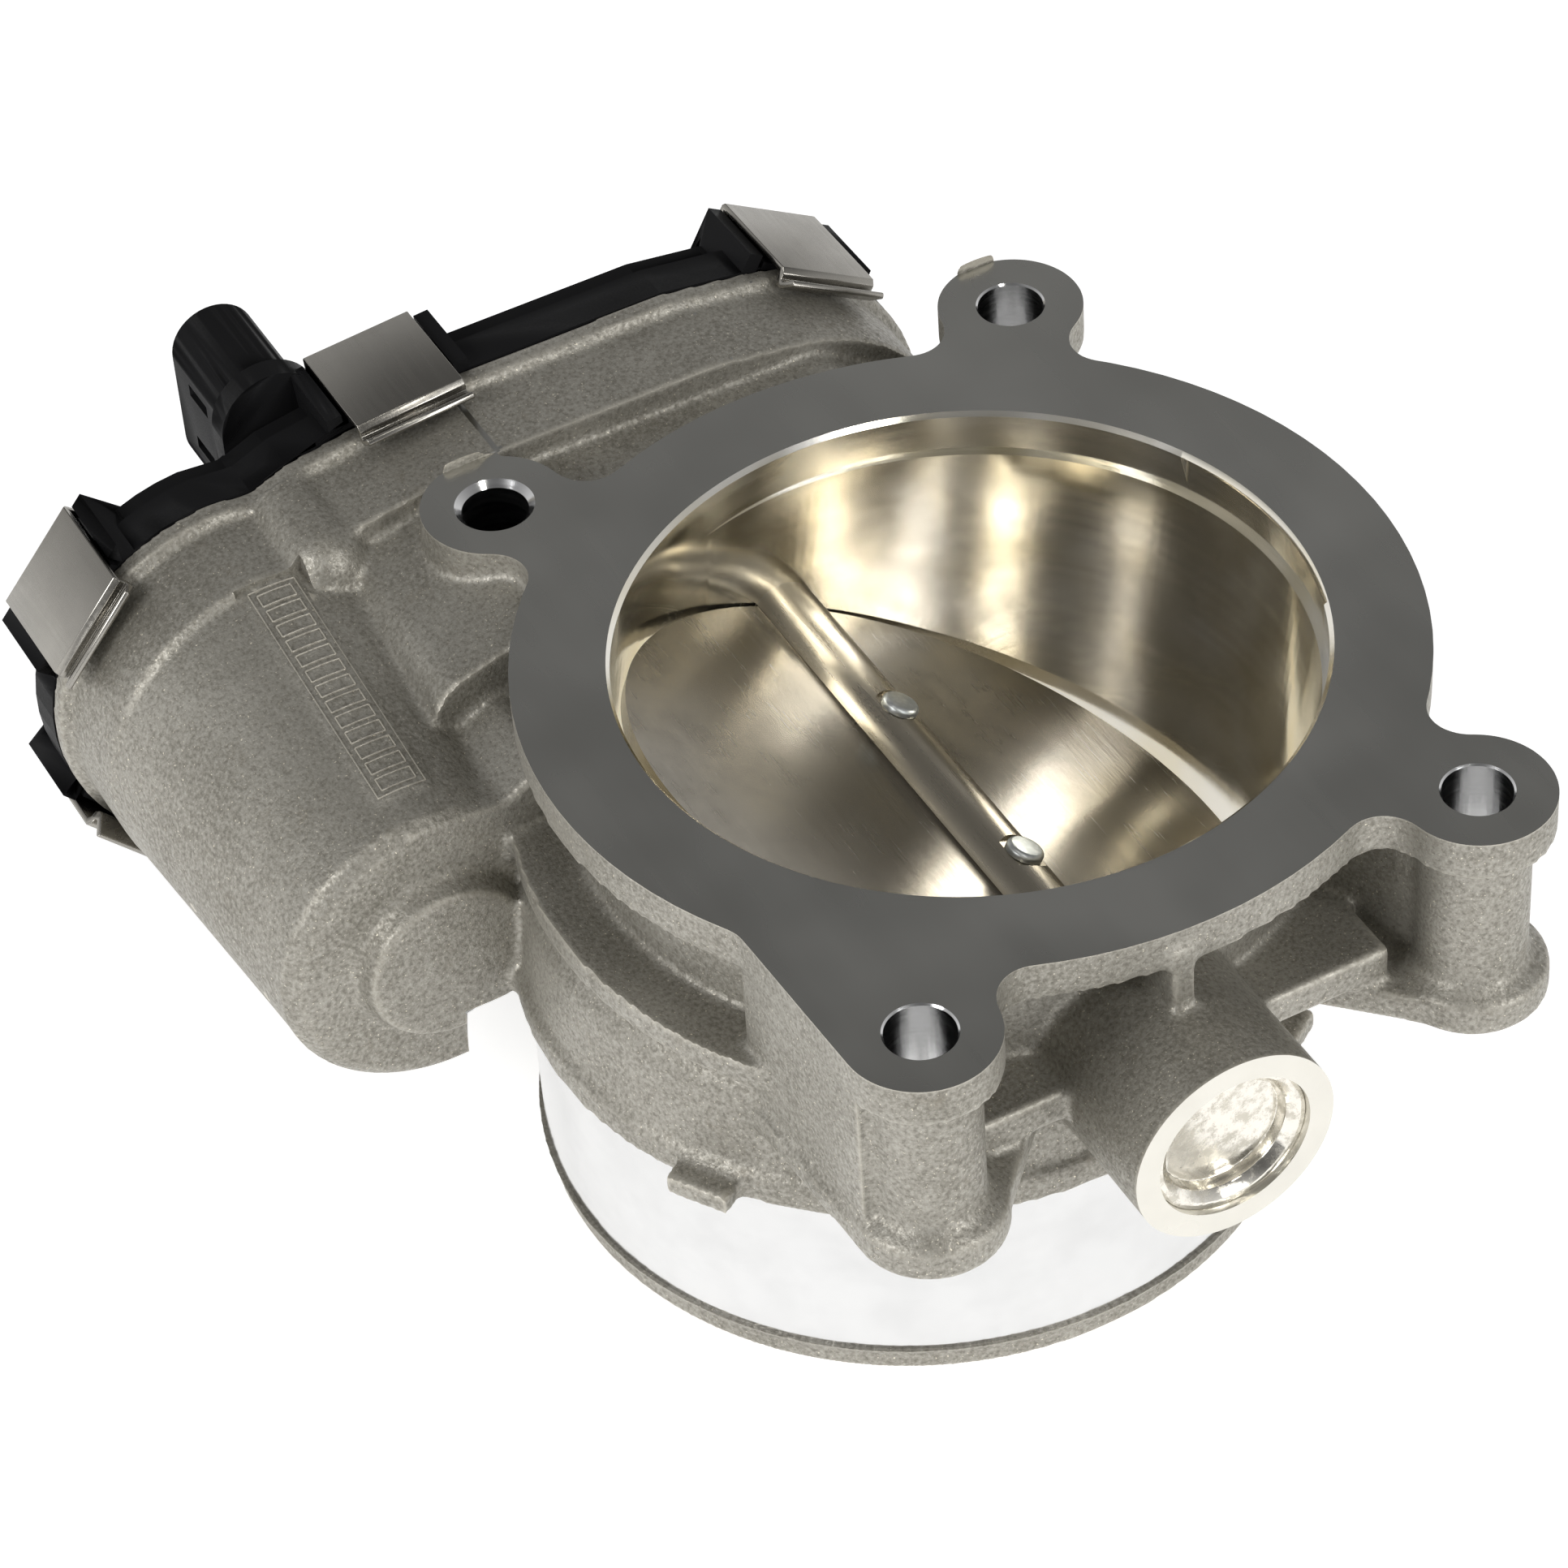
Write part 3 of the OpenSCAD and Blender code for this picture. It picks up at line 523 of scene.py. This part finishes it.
def clear_taper(obj):
    """Planes the CAD's row of cells off the motor barrel, for the finer one to stand there."""
    start, length, steps = -67 * MM, 42 * MM, 12
    low, high = 0.35 * MM, 3 * MM
    bm = bmesh.new()
    sections = []
    for i in range(steps + 1):
        x = start + length * i / steps
        row = [on_taper(x, y * MM, low) for y in range(-5, 6)]
        row += [on_taper(x, y * MM, high) for y in range(5, -6, -1)]
        sections.append([bm.verts.new(point) for point in row])
    tube_between(bm, sections)
    cut(obj, bm, "relief")


def paint_casting(obj):
    """Gives each machined surface its own material slot, by where its faces lie in millimetres."""
    mesh = obj.data
    mesh.materials.clear()
    for look in (cast_metal(), machined_face(), polished_bore(),
                 bright_turning("collar_band", 2, (0.68, 0.68, 0.68), 0.12),
                 bright_turning("boss_face", 0, (0.72, 0.70, 0.64), 0.26)):
        mesh.materials.append(look)
    count = len(mesh.polygons)
    c, n = np.empty(count * 3), np.empty(count * 3)
    mesh.polygons.foreach_get("center", c)
    mesh.polygons.foreach_get("normal", n)
    x, y, z = (c.reshape(-1, 3) / MM).T
    nx, _, nz = n.reshape(-1, 3).T
    sy, sz = SHAFT.y / MM, SHAFT.z / MM
    bore = np.hypot(x, (y - sy) * math.cos(TILT) - (z - sz) * math.sin(TILT))
    collar = np.hypot(x, y - COLLAR_Y / MM)
    slots = np.full(count, CAST, np.int32)
    slots[(bore < 45.62) | ((np.hypot(x, y) < 47) & (z > -6.6) & (z < -0.005))] = BORE
    slots[(collar < 49.6) & (z < -69)] = BORE
    slots[(np.abs(collar - COLLAR_R / MM) < 0.05) & (z > -71.9) & (z < -44.9)] = BAND
    for place in bolt_places():
        hole = np.hypot(x - place.translation.x / MM, y - place.translation.y / MM)
        slots[(hole < 5.5) & (z < -0.005)] = BAND
    slots[(x > 70.97) & (nx > 0.9)] = BOSS
    slots[(x > 64.8) & (np.hypot(y - sy, z - sz) < 10.9)] = BOSS
    slots[(np.abs(z) < 0.02) & (nz > 0.95)] = FACE
    mesh.polygons.foreach_set("material_index", slots)
    mesh.shade_smooth()
    mesh.set_sharp_from_angle(angle=math.radians(38))
    smooth = ~((slots == FACE) | (x > 70.97))
    mesh.polygons.foreach_set("use_smooth", smooth)


def make_casting():
    obj = raw_casting(0.6 * MM)
    machine(obj)
    clear_taper(obj)
    paint_casting(obj)
    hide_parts("housing")
    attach(obj, "housing_body")
    return obj


# ---------------------------------------------------------------- small detail

def taper(x):
    """Centre height and radius of the motor barrel's long taper at x."""
    t = (x + 67.6 * MM) / (45 * MM)
    return MOTOR.z + 2.5 * MM * (1 - t), (26.3 - 4.1 * t) * MM


def on_taper(x, y, lift=0.0):
    middle, radius = taper(x)
    radius += lift
    return Vector((x, MOTOR.y + y, middle + math.sqrt(radius ** 2 - y ** 2)))


def rail(bm, path, side, width=0.42 * MM, height=0.52 * MM, sink=0.2 * MM):
    """A low bead with sloping sides over a path of (x, y) points on the taper."""
    rows = []
    for x, y in path:
        row = []
        for share, lift in ((-1, -sink), (1, -sink), (0.4, height), (-0.4, height)):
            out = share * width / 2
            row.append(bm.verts.new(on_taper(x + side[0] * out, y + side[1] * out, lift)))
        rows.append(row)
    tube_between(bm, rows)


def make_cast_grid(look):
    """The frame of small cells cast on top of the motor barrel."""
    start, end, half = -66 * MM, -27 * MM, 3.4 * MM
    cells, gap = 13, 0.9 * MM
    pitch = (end - start - gap) / cells
    inner = half - 0.95 * MM
    bm = bmesh.new()

    def box(x0, x1, reach):
        for x in (x0, x1):
            rail(bm, [(x, reach * t / 5) for t in range(-5, 6)], (1, 0))
        for y in (-reach, reach):
            rail(bm, [(x0 + (x1 - x0) * t / 8, y) for t in range(9)], (0, 1))

    box(start, end, half)
    for i in range(cells):
        x0 = start + gap + i * pitch
        box(x0, x0 + pitch - gap, inner)
    obj = new_object("cast_grid", finished(bm, "cast_grid"))
    obj.data.materials.append(look)
    mod = obj.modifiers.new("round", "BEVEL")
    mod.width, mod.segments = 0.1 * MM, 2
    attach(obj, "housing_body")


def soften(node, body, width, angle=28):
    """Stands for a CAD node with the same shape and rounded edges."""
    bm = bmesh.new()
    bm.from_mesh(NODES[node].data)
    bmesh.ops.remove_doubles(bm, verts=bm.verts, dist=2e-6)
    bmesh.ops.dissolve_limit(bm, angle_limit=math.radians(0.5), verts=bm.verts, edges=bm.edges)
    obj = new_object(node + "_rounded", finished(bm, node + "_rounded"))
    obj.data.materials.append(NODES[node].data.materials[0])
    mod = obj.modifiers.new("round", "BEVEL")
    mod.width, mod.segments = width, 3
    mod.limit_method, mod.angle_limit = "ANGLE", math.radians(angle)
    mod.harden_normals = True
    apply_modifiers(obj)
    obj.data.shade_smooth()
    obj.data.set_sharp_from_angle(angle=math.radians(40))
    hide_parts(node)
    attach(obj, body)


# ---------------------------------------------------------------- stage

def area_light(name, place, target, size, power, color=(1, 1, 1)):
    data = bpy.data.lights.new(name, "AREA")
    data.shape = "RECTANGLE"
    data.size, data.size_y = size
    data.energy = power
    data.color = color
    lamp = bpy.data.objects.new(name, data)
    bpy.context.collection.objects.link(lamp)
    lamp.location = place
    lamp.rotation_mode = "QUATERNION"
    lamp.rotation_quaternion = (Vector(place) - Vector(target)).to_track_quat("Z", "Y")


def make_floor():
    bm = bmesh.new()
    bmesh.ops.create_grid(bm, x_segments=2, y_segments=2, size=4)
    mesh = finished(bm, "floor")
    floor = new_object("floor", mesh)
    floor.location.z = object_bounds()[0].z - 0.5 * MM
    s = Shade("floor", (0.86, 0.86, 0.86), 0.0, 0.7, Emission_Color=(1, 1, 1, 1), Emission_Strength=0.62)
    s.color(s.mix(s.span(s.noise(400, 2), 0.3, 0.7), (0.86, 0.86, 0.86), (0.84, 0.84, 0.84)))
    mesh.materials.append(s.mat)


def make_world():
    """Bright all round the horizon and darker overhead, with a dim patch low on the camera's side."""
    world = bpy.data.worlds.new("studio")
    world.use_nodes = True
    nodes, links = world.node_tree.nodes, world.node_tree.links
    direction = nodes.new("ShaderNodeTexCoord").outputs["Generated"]
    split = nodes.new("ShaderNodeSeparateXYZ")
    links.new(direction, split.inputs[0])
    ramp = nodes.new("ShaderNodeValToRGB")
    for stop, place, grey in zip(ramp.color_ramp.elements, (0.0, 0.75), (0.95, 0.17)):
        stop.position = place
        stop.color = (grey, grey, grey, 1)
    links.new(split.outputs["Z"], ramp.inputs[0])
    toward = nodes.new("ShaderNodeVectorMath")
    toward.operation = "DOT_PRODUCT"
    toward.inputs[1].default_value = (0.80, -0.56, 0.2)
    links.new(direction, toward.inputs[0])
    fade = nodes.new("ShaderNodeMapRange")
    for key, value in (("From Min", 0.78), ("From Max", 0.95), ("To Min", 1.0), ("To Max", 0.25)):
        fade.inputs[key].default_value = value
    links.new(toward.outputs["Value"], fade.inputs["Value"])
    dim = nodes.new("ShaderNodeVectorMath")
    dim.operation = "SCALE"
    links.new(ramp.outputs[0], dim.inputs[0])
    links.new(fade.outputs[0], dim.inputs["Scale"])
    links.new(dim.outputs[0], nodes["Background"].inputs["Color"])
    nodes["Background"].inputs["Strength"].default_value = 1.0
    bpy.context.scene.world = world


def make_stage():
    make_floor()
    make_world()
    bpy.context.scene.view_settings.view_transform = "Standard"
    area_light("front", (0.25, -1.0, 0.55), (0, 0, -0.04), (0.5, 0.4), 6.0)
    area_light("side", (1.05, 0.35, 0.5), (0, 0, -0.04), (0.4, 0.4), 4.8)
    area_light("lamp", (0.54, 0.066, 0.72), (0, 0, -0.03), (0.13, 0.13), 0.9, (1.0, 0.985, 0.94))
    area_light("overhead", (0.06, -0.11, 0.89), (0, 0, -0.03), (0.08, 0.12), 0.4, (1.0, 0.98, 0.93))


add_camera()
dress_cad_nodes()
casting = make_casting()
make_cast_grid(casting.data.materials[0])
soften("gear_cover", "housing_body", 0.55 * MM)
soften("cover_clips", "housing_body", 0.12 * MM)
soften("plate_screws", "throttle", 0.18 * MM)
soften("shaft_plug", "housing_body", 0.15 * MM)
make_stage()
